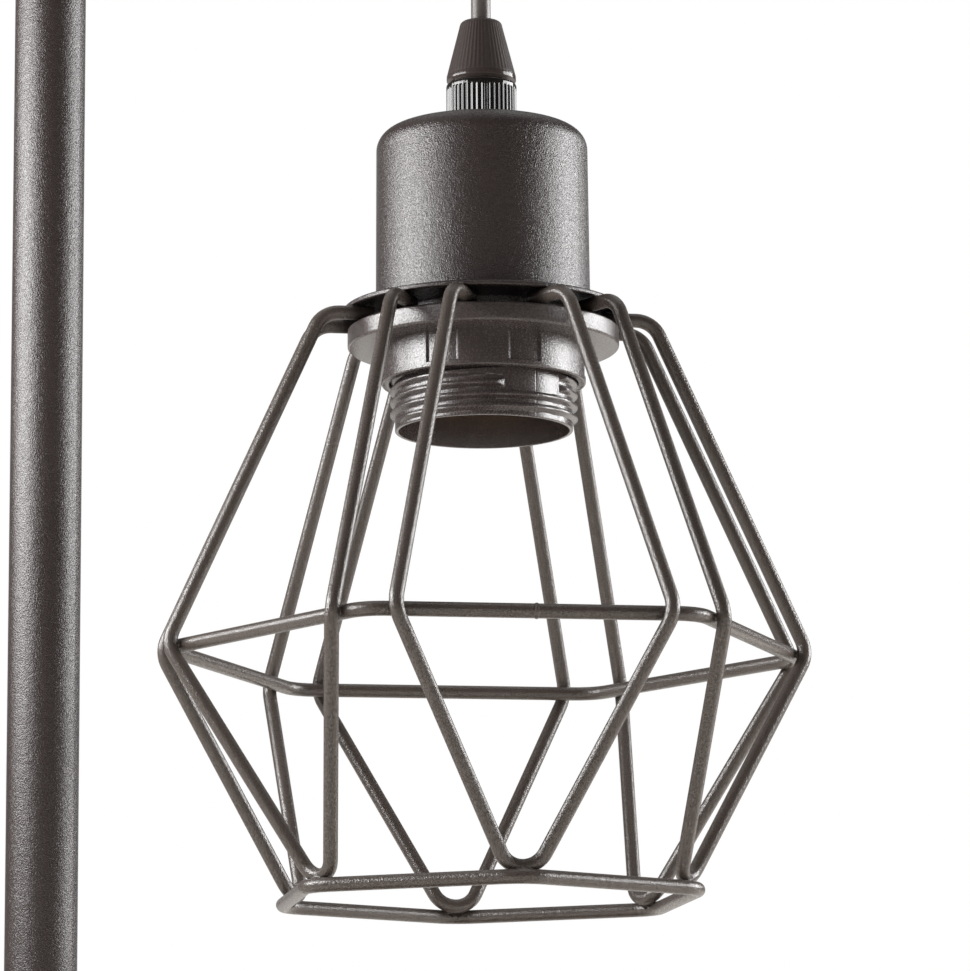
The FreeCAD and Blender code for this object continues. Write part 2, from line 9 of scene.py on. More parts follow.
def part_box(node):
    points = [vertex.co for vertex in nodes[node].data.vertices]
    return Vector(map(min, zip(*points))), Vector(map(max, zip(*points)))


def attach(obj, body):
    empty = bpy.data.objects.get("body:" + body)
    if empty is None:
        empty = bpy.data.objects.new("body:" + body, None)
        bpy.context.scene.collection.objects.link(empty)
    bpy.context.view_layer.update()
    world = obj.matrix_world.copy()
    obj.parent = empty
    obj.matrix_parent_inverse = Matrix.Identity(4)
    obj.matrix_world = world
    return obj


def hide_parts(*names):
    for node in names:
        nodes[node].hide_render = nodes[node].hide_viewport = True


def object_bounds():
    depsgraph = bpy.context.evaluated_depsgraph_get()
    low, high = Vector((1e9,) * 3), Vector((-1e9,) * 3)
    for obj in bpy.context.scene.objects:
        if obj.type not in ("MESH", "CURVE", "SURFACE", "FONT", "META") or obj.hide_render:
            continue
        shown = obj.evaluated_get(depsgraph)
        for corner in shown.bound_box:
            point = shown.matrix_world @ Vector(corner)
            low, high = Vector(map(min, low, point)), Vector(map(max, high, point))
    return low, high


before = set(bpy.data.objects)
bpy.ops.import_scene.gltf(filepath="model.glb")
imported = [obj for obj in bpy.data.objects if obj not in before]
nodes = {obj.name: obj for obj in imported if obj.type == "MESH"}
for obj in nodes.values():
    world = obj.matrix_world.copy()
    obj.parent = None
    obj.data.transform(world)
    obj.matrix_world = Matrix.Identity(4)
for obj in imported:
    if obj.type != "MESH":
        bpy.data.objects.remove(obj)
cad_low, cad_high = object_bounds()
MM = 0.001


# Base: a dish pressed from sheet steel with a round edge, powder coated, over an iron weight.
# A zinc-plated plate closes it from below on three countersunk screws, with a foam pad under it.

def linear(code):
    channels = [int(code[place:place + 2], 16) / 255 for place in (1, 3, 5)]
    steps = [c / 12.92 if c <= 0.04045 else ((c + 0.055) / 1.055) ** 2.4 for c in channels]
    return (*steps, 1.0)


# Adds a node with its settings; a source is another node's output or a plain value.
def add_node(tree, kind, sources, **settings):
    made = tree.nodes.new(kind)
    for name, value in settings.items():
        setattr(made, name, value)
    for socket, source in sources.items():
        if isinstance(source, bpy.types.NodeSocket):
            tree.links.new(source, made.inputs[socket])
        else:
            made.inputs[socket].default_value = source
    return made


# A finish's nodes, its shader, and the place on the piece that its patterns follow.
def opened(finish):
    tree = finish.node_tree
    place = add_node(tree, "ShaderNodeTexCoord", {}).outputs["Object"]
    return tree, tree.nodes["Principled BSDF"], place


def new_finish(name):
    finish = bpy.data.materials.new(name)
    finish.use_nodes = True
    return finish, *opened(finish)


# Two colours mixed by a pattern, each with the pattern value where it begins.
def shade_ramp(tree, pattern, low, dark, high, light):
    ramp = add_node(tree, "ShaderNodeValToRGB", {"Fac": pattern})
    first, last = ramp.color_ramp.elements
    first.position, first.color = low, linear(dark)
    last.position, last.color = high, linear(light)
    return ramp.outputs["Color"]


def dress(finish, *names):
    for name in names:
        nodes[name].material_slots[0].material = finish


# Powder coat, dark brown-grey: baked sand-like grains over a slow peel, sparkling where light fades.
# The grains are drawn a little coarser than they are, so that they show from a step away.
def powder(name, coat_grain, grain_depth, dull, shiny, dark, light):
    finish, tree, shader, place = new_finish(name)
    coat_peel = 1.5
    peel_share = 0.6
    grains = add_node(tree, "ShaderNodeTexNoise", {
        "Vector": place, "Scale": 1000 / coat_grain, "Detail": 1.0}).outputs["Fac"]
    peel = add_node(tree, "ShaderNodeTexNoise", {
        "Vector": place, "Scale": 1000 / coat_peel, "Detail": 1.0}).outputs["Fac"]
    height = add_node(tree, "ShaderNodeMath", {
        0: peel, 1: peel_share, 2: grains}, operation="MULTIPLY_ADD").outputs[0]
    bump = add_node(tree, "ShaderNodeBump", {"Height": height, "Strength": 1.0, "Distance": grain_depth})
    gloss = add_node(tree, "ShaderNodeMapRange", {
        "Value": grains, "From Min": 0.3, "From Max": 0.7,
        "To Min": 0.32, "To Max": 0.24}).outputs["Result"]
    pits = add_node(tree, "ShaderNodeMapRange", {
        "Value": grains, "From Min": 0.36, "From Max": 0.64,
        "To Min": dull, "To Max": shiny}).outputs["Result"]
    tree.links.new(shade_ramp(tree, grains, 0.35, dark, 0.72, light), shader.inputs["Base Color"])
    tree.links.new(gloss, shader.inputs["Roughness"])
    tree.links.new(pits, shader.inputs["Specular IOR Level"])
    tree.links.new(bump.outputs["Normal"], shader.inputs["Normal"])
    return finish


bronze = dict(coat_grain=0.26, grain_depth=0.12 * MM, dull=0.36, shiny=0.69,
              dark="#2c2524", light="#352d2c")
powder_coat = powder("powder_coat_dark_bronze", **bronze)

# Grey iron as cast: a dull skin with sand marks.
cast_iron, tree, shader, place = new_finish("cast_iron_skin")
sand_mark = 1.4
sand_depth = 0.25 * MM
marks = add_node(tree, "ShaderNodeTexNoise", {
    "Vector": place, "Scale": 1000 / sand_mark, "Detail": 4.0}).outputs["Fac"]
bump = add_node(tree, "ShaderNodeBump", {"Height": marks, "Strength": 0.7, "Distance": sand_depth})
shader.inputs["Metallic"].default_value = 0.6
shader.inputs["Roughness"].default_value = 0.65
tree.links.new(shade_ramp(tree, marks, 0.3, "#3a3836", 0.7, "#5b5855"), shader.inputs["Base Color"])
tree.links.new(bump.outputs["Normal"], shader.inputs["Normal"])

# Zinc plate on steel: bright, faintly blue, with a fine drawn grain.
zinc_plate, tree, shader, place = new_finish("zinc_plated_steel")
zinc_grain = 0.8
zinc_depth = 0.02 * MM
drawn = add_node(tree, "ShaderNodeTexNoise", {
    "Vector": place, "Scale": 1000 / zinc_grain, "Detail": 3.0}).outputs["Fac"]
bump = add_node(tree, "ShaderNodeBump", {"Height": drawn, "Strength": 0.4, "Distance": zinc_depth})
gloss = add_node(tree, "ShaderNodeMapRange", {
    "Value": drawn, "From Min": 0.3, "From Max": 0.7, "To Min": 0.26, "To Max": 0.42}).outputs["Result"]
shader.inputs["Metallic"].default_value = 1.0
tree.links.new(shade_ramp(tree, drawn, 0.3, "#a9abad", 0.7, "#c4c6c9"), shader.inputs["Base Color"])
tree.links.new(gloss, shader.inputs["Roughness"])
tree.links.new(bump.outputs["Normal"], shader.inputs["Normal"])

# Closed-cell foam: dull black skin with tiny pores.
foam, tree, shader, place = new_finish("closed_cell_foam")
foam_pore = 0.9
foam_depth = 0.2 * MM
pores = add_node(tree, "ShaderNodeTexVoronoi", {
    "Vector": place, "Scale": 1000 / foam_pore}).outputs["Distance"]
bump = add_node(tree, "ShaderNodeBump", {"Height": pores, "Strength": 0.6, "Distance": foam_depth})
shader.inputs["Roughness"].default_value = 0.9
tree.links.new(shade_ramp(tree, pores, 0.2, "#161616", 0.8, "#262525"), shader.inputs["Base Color"])
tree.links.new(bump.outputs["Normal"], shader.inputs["Normal"])

dress(powder_coat, "base_cover")
dress(cast_iron, "base_weight")
dress(zinc_plate, "base_plate", "plate_screws")
dress(foam, "base_pad")


# Trim plastic: the lead inlet's grommet, the plug in the arm's end and the bush under it.
# All are moulded in black nylon with a faintly satin skin.
nylon, tree, shader, place = new_finish("moulded_black_nylon")
nylon_grain = 0.7
nylon_depth = 0.03 * MM
skin = add_node(tree, "ShaderNodeTexNoise", {
    "Vector": place, "Scale": 1000 / nylon_grain, "Detail": 2.0}).outputs["Fac"]
bump = add_node(tree, "ShaderNodeBump", {"Height": skin, "Strength": 0.5, "Distance": nylon_depth})
gloss = add_node(tree, "ShaderNodeMapRange", {
    "Value": skin, "From Min": 0.3, "From Max": 0.7, "To Min": 0.32, "To Max": 0.44}).outputs["Result"]
tree.links.new(shade_ramp(tree, skin, 0.3, "#1d1b1a", 0.7, "#2a2725"), shader.inputs["Base Color"])
tree.links.new(gloss, shader.inputs["Roughness"])
tree.links.new(bump.outputs["Normal"], shader.inputs["Normal"])
dress(nylon, "lead_gland", "arm_end_cap", "cord_bush")


# Stand: one steel tube, bent at the top into the arm and powder coated with the base.
# A plug in its foot takes a threaded nipple, drawn down by a nut and washer under the weight.
dress(powder_coat, "pole")
dress(zinc_plate, "pole_foot_plug", "threaded_nipple", "pole_washer", "pole_nut")


# Lead: round two-core flex in grey PVC, through the base, the tube and the bush, then free.
# The free length hangs straight under the pendant's weight, from the bush to the grip.
pvc, tree, shader, place = new_finish("extruded_grey_pvc")
pvc_ripple = 3.0
pvc_depth = 0.05 * MM
ripple = add_node(tree, "ShaderNodeTexNoise", {
    "Vector": place, "Scale": 1000 / pvc_ripple, "Detail": 2.0}).outputs["Fac"]
bump = add_node(tree, "ShaderNodeBump", {"Height": ripple, "Strength": 0.3, "Distance": pvc_depth})
shader.inputs["Roughness"].default_value = 0.36
tree.links.new(shade_ramp(tree, ripple, 0.3, "#4a4542", 0.7, "#57524e"), shader.inputs["Base Color"])
tree.links.new(bump.outputs["Normal"], shader.inputs["Normal"])
dress(pvc, "inner_lead", "flex_bend", "holder_wires")

flex_low, flex_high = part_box("pendant_flex")
flex_radius = (flex_high.x - flex_low.x) / 2
pendant_x = (flex_low.x + flex_high.x) / 2
flex_top = Vector((pendant_x, 0, flex_high.z))
flex_end = Vector((pendant_x, 0, flex_low.z))
flex_line = bpy.data.curves.new("hanging_flex", "CURVE")
flex_line.dimensions = "3D"
flex_line.bevel_depth = flex_radius
flex_line.bevel_resolution = 8
flex_line.use_fill_caps = True
flex_run = flex_line.splines.new("NURBS")
flex_points = 5
flex_run.points.add(flex_points - 1)
for step in range(flex_points):
    flex_run.points[step].co = (*flex_top.lerp(flex_end, step / (flex_points - 1)), 1)
flex_run.order_u = 3
flex_run.use_endpoint_u = True
flex_line.materials.append(pvc)
hanging_flex = bpy.data.objects.new("hanging_flex", flex_line)
bpy.context.scene.collection.objects.link(hanging_flex)
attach(hanging_flex, "flex")
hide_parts("pendant_flex")


# Cord grip: a fluted cone nut screwed over a split collet, on a ribbed collar that clamps the cup.
# Both are moulded in black thermoplastic; the nut is satin and the collar is polished.

# Rounds the corners of a closed outline, each given as (radius, height, fillet).
def rounded(corners, steps=6):
    outline = []
    for index, (radius, z, fillet) in enumerate(corners):
        corner = Vector((radius, 0, z))
        if fillet == 0:
            outline.append((radius, z))
            continue
        before, after = corners[index - 1], corners[(index + 1) % len(corners)]
        to_before = (Vector((before[0], 0, before[1])) - corner).normalized()
        to_after = (Vector((after[0], 0, after[1])) - corner).normalized()
        half = to_before.angle(to_after) / 2
        centre = corner + (to_before + to_after).normalized() * (fillet / math.sin(half))
        inset = fillet / math.tan(half)
        start = corner + to_before * inset - centre
        end = corner + to_after * inset - centre
        for step in range(steps + 1):
            point = centre + start.slerp(end, step / steps) * fillet
            outline.append((point.x, point.z))
    return outline


# Joins rings of points into a skin: closed on itself, or else with a cap at each end.
def skin_rings(shape, rings, closed):
    for ring, after in zip(rings, rings[1:] + rings[:1] if closed else rings[1:]):
        for column in range(len(ring)):
            beside = (column + 1) % len(ring)
            shape.faces.new((ring[column], ring[beside], after[beside], after[column]))
    if not closed:
        shape.faces.new(rings[0])
        shape.faces.new(rings[-1])


# Turns a closed outline about the pendant's axis; relief changes a point's radius by its angle.
def turned(name, outline, columns, relief=None):
    shape = bmesh.new()
    rings = []
    for radius, z in outline:
        ring = []
        for column in range(columns):
            angle = 2 * math.pi * column / columns
            reach = relief(angle, radius, z) if relief else radius
            ring.append(shape.verts.new((pendant_x + reach * math.cos(angle), reach * math.sin(angle), z)))
        rings.append(ring)
    skin_rings(shape, rings, closed=True)
    return finished(name, shape)


# Makes the shape a piece of the scene, smooth but for its sharp edges.
def finished(name, shape, sharp_angle=35):
    bmesh.ops.recalc_face_normals(shape, faces=shape.faces)
    mesh = bpy.data.meshes.new(name)
    shape.to_mesh(mesh)
    shape.free()
    mesh.shade_smooth()
    mesh.set_sharp_from_angle(angle=math.radians(sharp_angle))
    piece = bpy.data.objects.new(name, mesh)
    bpy.context.scene.collection.objects.link(piece)
    return piece


# Dresses a piece, and fixes it to its body in place of the plain solids that it stands for.
def seat(piece, finish, body, slot, *replaced):
    piece.data.materials.append(finish)
    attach(piece, body)
    if replaced:
        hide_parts(*replaced)


# Rises smoothly from 0 at the start to 1 at the end.
def blend_step(value, start, end):
    share = min(max((value - start) / (end - start), 0), 1)
    return share * share * (3 - 2 * share)


# Satin black thermoplastic, slightly brown; the plain rim at the nut's foot shows a gloss.
satin_black, tree, shader, place = new_finish("satin_black_thermoplastic")
satin_grain = 0.4
satin_depth = 0.03 * MM
grip_low, grip_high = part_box("cord_grip_nut")
nut_rim = 1.6 * MM
skin = add_node(tree, "ShaderNodeTexNoise", {
    "Vector": place, "Scale": 1000 / satin_grain, "Detail": 2.0}).outputs["Fac"]
bump = add_node(tree, "ShaderNodeBump", {"Height": skin, "Strength": 0.4, "Distance": satin_depth})
level = add_node(tree, "ShaderNodeSeparateXYZ", {"Vector": place}).outputs["Z"]
gloss = add_node(tree, "ShaderNodeMapRange", {
    "Value": level, "From Min": grip_low.z + 0.9 * nut_rim, "From Max": grip_low.z + 1.3 * nut_rim,
    "To Min": 0.12, "To Max": 0.36}).outputs["Result"]
shader.inputs["Specular IOR Level"].default_value = 0.3
tree.links.new(shade_ramp(tree, skin, 0.3, "#352e2c", 0.7, "#3d3634"), shader.inputs["Base Color"])
tree.links.new(gloss, shader.inputs["Roughness"])
tree.links.new(bump.outputs["Normal"], shader.inputs["Normal"])

# The same plastic from a polished mould: near black, mirroring the studio in every rib.
polished_black, tree, shader, place = new_finish("polished_black_thermoplastic")
polish_wave = 1.2
polish_depth = 0.012 * MM
wave = add_node(tree, "ShaderNodeTexNoise", {"Vector": place, "Scale": 1000 / polish_wave}).outputs["Fac"]
bump = add_node(tree, "ShaderNodeBump", {"Height": wave, "Strength": 0.4, "Distance": polish_depth})
shader.inputs["Roughness"].default_value = 0.1
tree.links.new(shade_ramp(tree, wave, 0.3, "#141110", 0.7, "#1c1917"), shader.inputs["Base Color"])
tree.links.new(bump.outputs["Normal"], shader.inputs["Normal"])

nut_flutes = 48
columns_per_flute = 8
nut_flute_depth = 0.07 * MM
nut_top_radius = 4.7 * MM
nut_shoulder = 1.4 * MM
flex_play = 0.06 * MM
nut_foot_radius = (grip_high.x - grip_low.x) / 2
nut_bore = flex_radius + flex_play


# Flutes run up the cone only: the rim at its foot, its shoulder and its bore stay plain.
def nut_flute(angle, radius, z):
    run = blend_step(z, grip_low.z + nut_rim, grip_low.z + 1.5 * nut_rim)
    run *= 1 - blend_step(z, grip_high.z - nut_shoulder, grip_high.z)
    outside = 1.0 if radius > nut_bore * 1.4 else 0.0
    dip = 0.5 - 0.5 * math.cos(nut_flutes * angle)
    return radius - nut_flute_depth * dip * run * outside


cone_rows = 12
cone_bottom = grip_low.z + nut_rim
cone_top = grip_high.z - nut_shoulder
cone = []
for row in range(cone_rows + 1):
    share = row / cone_rows
    cone.append((nut_foot_radius + (nut_top_radius - nut_foot_radius) * share,
                 cone_bottom + (cone_top - cone_bottom) * share, 0))
nut_outline = rounded([
    (nut_bore, grip_low.z, 0), (nut_foot_radius - 0.6 * MM, grip_low.z, 0.2 * MM),
    (nut_foot_radius, grip_low.z + 0.7 * MM, 0.25 * MM), *cone,
    (nut_top_radius - 0.3 * MM, grip_high.z, 1.1 * MM), (nut_bore, grip_high.z, 0.25 * MM)])
grip_nut = turned("fluted_grip_nut", nut_outline, nut_flutes * columns_per_flute, nut_flute)
seat(grip_nut, satin_black, "pendant", "black_plastic", "cord_grip_nut")

body_low, body_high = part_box("cord_grip_body")
cup_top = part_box("cup")[1].z
collar_radius = (body_high.x - body_low.x) / 2
collar_shoulder = 1.3 * MM
collar_ribs = 42
columns_per_rib = 16
collar_rib_depth = 0.26 * MM
stem_radius = 4.9 * MM
collet_radius = 4.8 * MM


# Ribs run up the collar's side only, under a plain round shoulder.
def collar_rib(angle, radius, z):
    run = blend_step(z, cup_top, cup_top + 0.2 * MM)
    run *= 1 - blend_step(z, grip_low.z - collar_shoulder - 0.15 * MM, grip_low.z - collar_shoulder)
    outside = 1.0 if radius > stem_radius * 1.3 else 0.0
    dip = 0.5 - 0.5 * math.cos(collar_ribs * angle)
    return radius - collar_rib_depth * dip * run * outside


collar_rows = 40
rib_top = grip_low.z - collar_shoulder
collar_side = [(collar_radius, cup_top + (rib_top - cup_top) * row / collar_rows, 0)
               for row in range(collar_rows + 1)]
collar_outline = rounded([
    (nut_bore, body_low.z, 0), (stem_radius, body_low.z, 0), (stem_radius, cup_top, 0), *collar_side,
    (collar_radius, grip_low.z, 0.7 * MM), (collet_radius, grip_low.z, 0),
    (collet_radius, body_high.z, 0.3 * MM), (nut_bore, body_high.z, 0)])
grip_body = turned("ribbed_grip_collar", collar_outline, collar_ribs * columns_per_rib, collar_rib)
seat(grip_body, polished_black, "pendant", "black_plastic", "cord_grip_body")


# Cup: spun from thin steel, powder coated like the stand, with a soft round edge at the top.
# It hides the lampholder's cap and its wiring, and stands on the cage's plate.
dress(powder_coat, "cup")


# Lampholder: a standard screw holder in black moulded plastic, in a cap and a threaded skirt.
# Inside are a phenolic carrier with brass contacts and terminals, and the rolled brass shell.

# Black thermoplastic with the mould's grain: the finer the grain, the crisper the light on its edges.
# The grain is drawn coarser than the mould's own, so that it shows.
def moulded(name, mould_grain, grain_depth, smooth, dull):
    finish, tree, shader, place = new_finish(name)
    grain = add_node(tree, "ShaderNodeTexNoise", {
        "Vector": place, "Scale": 1000 / mould_grain, "Detail": 2.0}).outputs["Fac"]
    bump = add_node(tree, "ShaderNodeBump", {"Height": grain, "Strength": 0.7, "Distance": grain_depth})
    gloss = add_node(tree, "ShaderNodeMapRange", {
        "Value": grain, "From Min": 0.3, "From Max": 0.7,
        "To Min": smooth, "To Max": dull}).outputs["Result"]
    pits = add_node(tree, "ShaderNodeMapRange", {
        "Value": grain, "From Min": 0.36, "From Max": 0.64,
        "To Min": 0.45, "To Max": 1.0}).outputs["Result"]
    tree.links.new(shade_ramp(tree, grain, 0.3, "#3a3332", 0.72, "#433c3b"), shader.inputs["Base Color"])
    tree.links.new(gloss, shader.inputs["Roughness"])
    tree.links.new(pits, shader.inputs["Specular IOR Level"])
    tree.links.new(bump.outputs["Normal"], shader.inputs["Normal"])
    return finish


# Makes a finish duller where a pattern says so.
def dull_more(tree, shader, extra):
    polish = shader.inputs["Roughness"].links[0].from_socket
    duller = add_node(tree, "ShaderNodeMath", {0: polish, 1: extra}, operation="ADD").outputs[0]
    tree.links.new(duller, shader.inputs["Roughness"])


holder_plastic = moulded("smooth_moulded_black_plastic", mould_grain=0.34, grain_depth=0.07 * MM,
                         smooth=0.17, dull=0.27)

# Brass strip: warm, polished by the rolls, a little dulled.
brass, tree, shader, place = new_finish("rolled_brass")
tarnish_size = 6.0
tarnish = add_node(tree, "ShaderNodeTexNoise", {
    "Vector": place, "Scale": 1000 / tarnish_size, "Detail": 4.0}).outputs["Fac"]
gloss = add_node(tree, "ShaderNodeMapRange", {
    "Value": tarnish, "From Min": 0.3, "From Max": 0.7, "To Min": 0.2, "To Max": 0.38}).outputs["Result"]
shader.inputs["Metallic"].default_value = 1.0
tree.links.new(shade_ramp(tree, tarnish, 0.3, "#b08a45", 0.7, "#d2ab62"), shader.inputs["Base Color"])
tree.links.new(gloss, shader.inputs["Roughness"])

dress(holder_plastic, "lampholder_cap", "contact_carrier")
dress(brass, "centre_contact", "terminals")
dress(zinc_plate, "terminal_screws")

skirt_low, skirt_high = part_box("lampholder_skirt")
ring_low, ring_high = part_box("shade_ring")
plate_low, plate_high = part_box("cage_plate")
skirt_crest = (skirt_high.x - skirt_low.x) / 2
skirt_root = skirt_crest - 1.05 * MM
skirt_bore = 17.9 * MM
skirt_mouth = 18.2 * MM
mouth_taper = 5 * MM
skirt_pitch = 2.5 * MM
first_ridge = 1.8 * MM
ridge_bearing = math.radians(-63.15)
ridge_half = 0.36
ridge_flank = 0.3
first_turn = 0.5
last_turn = 2.5
run_in = math.radians(-138)
ramp = math.radians(5.6)
run_out = math.radians(40)
patch_from = math.radians(-55.2)
patch_to = math.radians(-6.4)
patch_floor = skirt_low.z + 5.6 * MM
thread_low = skirt_low.z + 0.9 * MM
thread_high = ring_low.z + 2 * MM
parting = math.radians(-27.6)
parting_groove = 0.07 * MM
parting_width = math.radians(1.0)


# The thread runs in slowly, and is left off over a plain patch at one of the mould's parting lines.
def skirt_thread(angle, radius, z):
    if radius < skirt_crest * 0.99 or z > thread_high:
        return radius
    bearing = math.remainder(angle, 2 * math.pi)
    from_parting = abs(math.remainder(bearing - parting, math.pi))
    groove = parting_groove * max(0, 1 - 2 * from_parting / parting_width)
    turn = (z - skirt_low.z - first_ridge) / skirt_pitch - (bearing - ridge_bearing) / (2 * math.pi)
    off = abs(math.remainder(turn, 1.0))
    ridge = min(max((ridge_half - off) / ridge_flank, 0), 1)
    ridge = 0.5 * ridge + 0.5 * blend_step(ridge, 0, 1)
    if turn < first_turn:
        ridge *= blend_step(bearing, run_in, run_in + 4 * ramp)
    if z > patch_floor:
        fade = run_out if turn > last_turn else ramp
        left_end = 1 - min(max((bearing - patch_from - ramp + fade) / fade, 0), 1)
        right_end = min(max((bearing - patch_to) / ramp, 0), 1)
        ridge = min(ridge, max(left_end, right_end))
    return skirt_root + (skirt_crest - skirt_root) * ridge - groove


spigot_radius = 17.6 * MM
spigot_foot = plate_high.z + 8 * MM
seat_radius = 16.0 * MM
ledge_radius = 15.0 * MM
ledge_top = plate_high.z + 5 * MM
ledge_under = plate_high.z + 2 * MM
thread_rows = 76
skirt_columns = 960
thread_side = [(skirt_crest, thread_low + (thread_high - thread_low) * row / thread_rows, 0)
               for row in range(thread_rows + 1)]
skirt_outline = rounded([
    (skirt_bore, skirt_low.z + mouth_taper, 0), (skirt_mouth, skirt_low.z, 0.15 * MM),
    (skirt_root, skirt_low.z, 0.25 * MM), (skirt_root, thread_low - 0.2 * MM, 0), *thread_side,
    (skirt_crest, spigot_foot, 0), (spigot_radius, spigot_foot, 0), (spigot_radius, skirt_high.z, 0),
    (seat_radius, skirt_high.z, 0), (seat_radius, ledge_top, 0), (ledge_radius, ledge_top, 0),
    (ledge_radius, ledge_under, 0), (skirt_bore, ledge_under, 0)])
skirt = turned("threaded_skirt", skirt_outline, skirt_columns, skirt_thread)

# On the stand's side of its parting line the skirt looks duller, as from the more worn half of a mould.
skirt_plastic = moulded("two_part_moulded_black_plastic", mould_grain=0.34, grain_depth=0.07 * MM,
                        smooth=0.15, dull=0.25)
worn_dulling = 0.07
worn_edge = 0.05 * MM
tree, shader, place = opened(skirt_plastic)
aside = add_node(tree, "ShaderNodeVectorMath", {
    0: place, 1: (pendant_x, 0, 0)}, operation="SUBTRACT").outputs[0]
half_side = add_node(tree, "ShaderNodeVectorMath", {
    0: aside, 1: (-math.sin(parting), math.cos(parting), 0)}, operation="DOT_PRODUCT").outputs["Value"]
worn = add_node(tree, "ShaderNodeMapRange", {
    "Value": half_side, "From Min": -worn_edge, "From Max": worn_edge,
    "To Min": worn_dulling, "To Max": 0.0}).outputs["Result"]
dull_more(tree, shader, worn)
seat(skirt, skirt_plastic, "pendant", "black_plastic", "lampholder_skirt")

shell_low, shell_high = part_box("screw_shell")
shell_wall = 0.5 * MM
shell_wave = 0.9 * MM
shell_pitch = 25.4 / 7 * MM
shell_inset = 0.7 * MM
shell_bore = (shell_high.x - shell_low.x) / 2 - shell_inset


# A round thread rolled into the thin wall, which waves alike inside and outside.
def shell_thread(angle, radius, z):
    turn = (z - shell_low.z) / shell_pitch - angle / (2 * math.pi)
    wave = 0.5 - 0.5 * math.cos(2 * math.pi * turn)
    wave *= blend_step(z, shell_low.z, shell_low.z + 1.5 * MM)
    return radius + shell_wave * wave


shell_rows = 60
shell_columns = 160
shell_levels = [shell_low.z + (shell_high.z - shell_low.z) * row / shell_rows
                for row in range(shell_rows + 1)]
shell_outline = [(shell_bore, z) for z in shell_levels]
shell_outline += [(shell_bore + shell_wall, z) for z in reversed(shell_levels)]
shell = turned("rolled_screw_shell", shell_outline, shell_columns, shell_thread)
seat(shell, brass, "pendant", "brass", "screw_shell")


# Shade ring: a flanged plastic nut on the skirt's thread, which clamps the cage up against the cup.
# Its grip has six shallow finger recesses between wider raised panels.

# The same plastic from a spark-eroded mould: dull sparkling panels.
ring_plastic = moulded("spark_textured_black_plastic", mould_grain=0.38, grain_depth=0.11 * MM,
                       smooth=0.2, dull=0.3)

grip_radius = 21.8 * MM
recess_depth = 0.5 * MM
recess_width = math.radians(19.5)
recess_edge = math.radians(1.3)
recess_lip = 1.2 * MM
recess_foot = ring_low.z + recess_lip
recess_rise = 0.25 * MM
ring_columns = 1440
recess_centres = [math.radians(bearing) for bearing in (-39.4, 26.8, 93.0, 140.6, 206.8, 273.0)]
flange_radius = (ring_high.x - ring_low.x) / 2
flange_thick = 4.1 * MM
flange_foot = ring_high.z - flange_thick
ring_bore = skirt_crest + 0.2 * MM

# The flange's rim looks duller than the face under it, as from a coarser half of the mould.
rim_dulling = 0.07
tree, shader, place = opened(ring_plastic)
level = add_node(tree, "ShaderNodeSeparateXYZ", {"Vector": place}).outputs["Z"]
coarse = add_node(tree, "ShaderNodeMapRange", {
    "Value": level, "From Min": flange_foot + 0.2 * MM, "From Max": flange_foot + 0.6 * MM,
    "To Min": 0.0, "To Max": rim_dulling}).outputs["Result"]
dull_more(tree, shader, coarse)


# Recesses are sunk into the grip's side only, above a plain lip.
def finger_recess(angle, radius, z):
    if not grip_radius * 0.98 < radius < grip_radius * 1.005 or z < recess_foot:
        return radius
    depth = 0.0
    for centre in recess_centres:
        off = abs(math.remainder(angle - centre, 2 * math.pi))
        depth = max(depth, 1 - blend_step(off, recess_width / 2 - recess_edge, recess_width / 2))
    return radius - recess_depth * depth * blend_step(z, recess_foot, recess_foot + recess_rise)


grip_side = [(grip_radius, recess_foot + rise * MM, 0) for rise in (0.0, 0.12, 0.25)]
ring_outline = rounded([
    (ring_bore, ring_low.z, 0.2 * MM), (grip_radius, ring_low.z, 0.35 * MM), *grip_side,
    (grip_radius, flange_foot, 0), (flange_radius, flange_foot, 0.6 * MM),
    (flange_radius, ring_high.z, 0.5 * MM), (ring_bore, ring_high.z, 0)])
ring = turned("flanged_shade_ring", ring_outline, ring_columns, finger_recess)
seat(ring, ring_plastic, "pendant", "black_plastic", "shade_ring")


# Cage: six wire loops and two hexagon rings of 3 mm steel, welded to a plate and powder coated.
# The coat gathers in the corners of each weld, which shows as a small smooth web.
loops = [f"cage_loop_{number}" for number in range(1, 7)]
# Painted shade under the plate fades out between these two radii from the axis, and is darkest at this
# share of the colour.
shade_inner_radius = 29 * MM
shade_outer_radius = 32.5 * MM
deepest_shade_share = 0.2


# Painted shade: the base colour and the specular level are darkened in the corner between the plate and the
# loops' tails, under the plate and within a radius of the axis.
def painted_under_plate_shade(finish):
    tree, shader, place = opened(finish)
    aside = add_node(tree, "ShaderNodeVectorMath", {
        0: place, 1: (pendant_x, 0, 0)}, operation="SUBTRACT").outputs[0]
    flat = add_node(tree, "ShaderNodeVectorMath", {
        0: aside, 1: (1, 1, 0)}, operation="MULTIPLY").outputs[0]
    from_axis = add_node(tree, "ShaderNodeVectorMath", {0: flat}, operation="LENGTH").outputs["Value"]
    outside = add_node(tree, "ShaderNodeMapRange", {
        "Value": from_axis, "From Min": shade_inner_radius, "From Max": shade_outer_radius,
        "To Min": deepest_shade_share, "To Max": 1.0}).outputs["Result"]
    height = add_node(tree, "ShaderNodeSeparateXYZ", {"Vector": place}).outputs["Z"]
    over_plate = add_node(tree, "ShaderNodeMapRange", {
        "Value": height, "From Min": plate_low.z + 0.1 * MM,
        "From Max": plate_low.z + 0.3 * MM}).outputs["Result"]
    unshaded_share = add_node(tree, "ShaderNodeMath", {0: outside, 1: over_plate}, operation="MAXIMUM").outputs[0]
    for name in ("Base Color", "Specular IOR Level"):
        full = shader.inputs[name].links[0].from_socket
        shaded = add_node(tree, "ShaderNodeVectorMath", {0: full, "Scale": unshaded_share}, operation="SCALE")
        tree.links.new(shaded.outputs[0], shader.inputs[name])
    return finish


# The plate's coat and the wires' coat both carry the painted shade under the plate.
plate_coat = painted_under_plate_shade(powder("powder_coat_on_plate", **bronze))
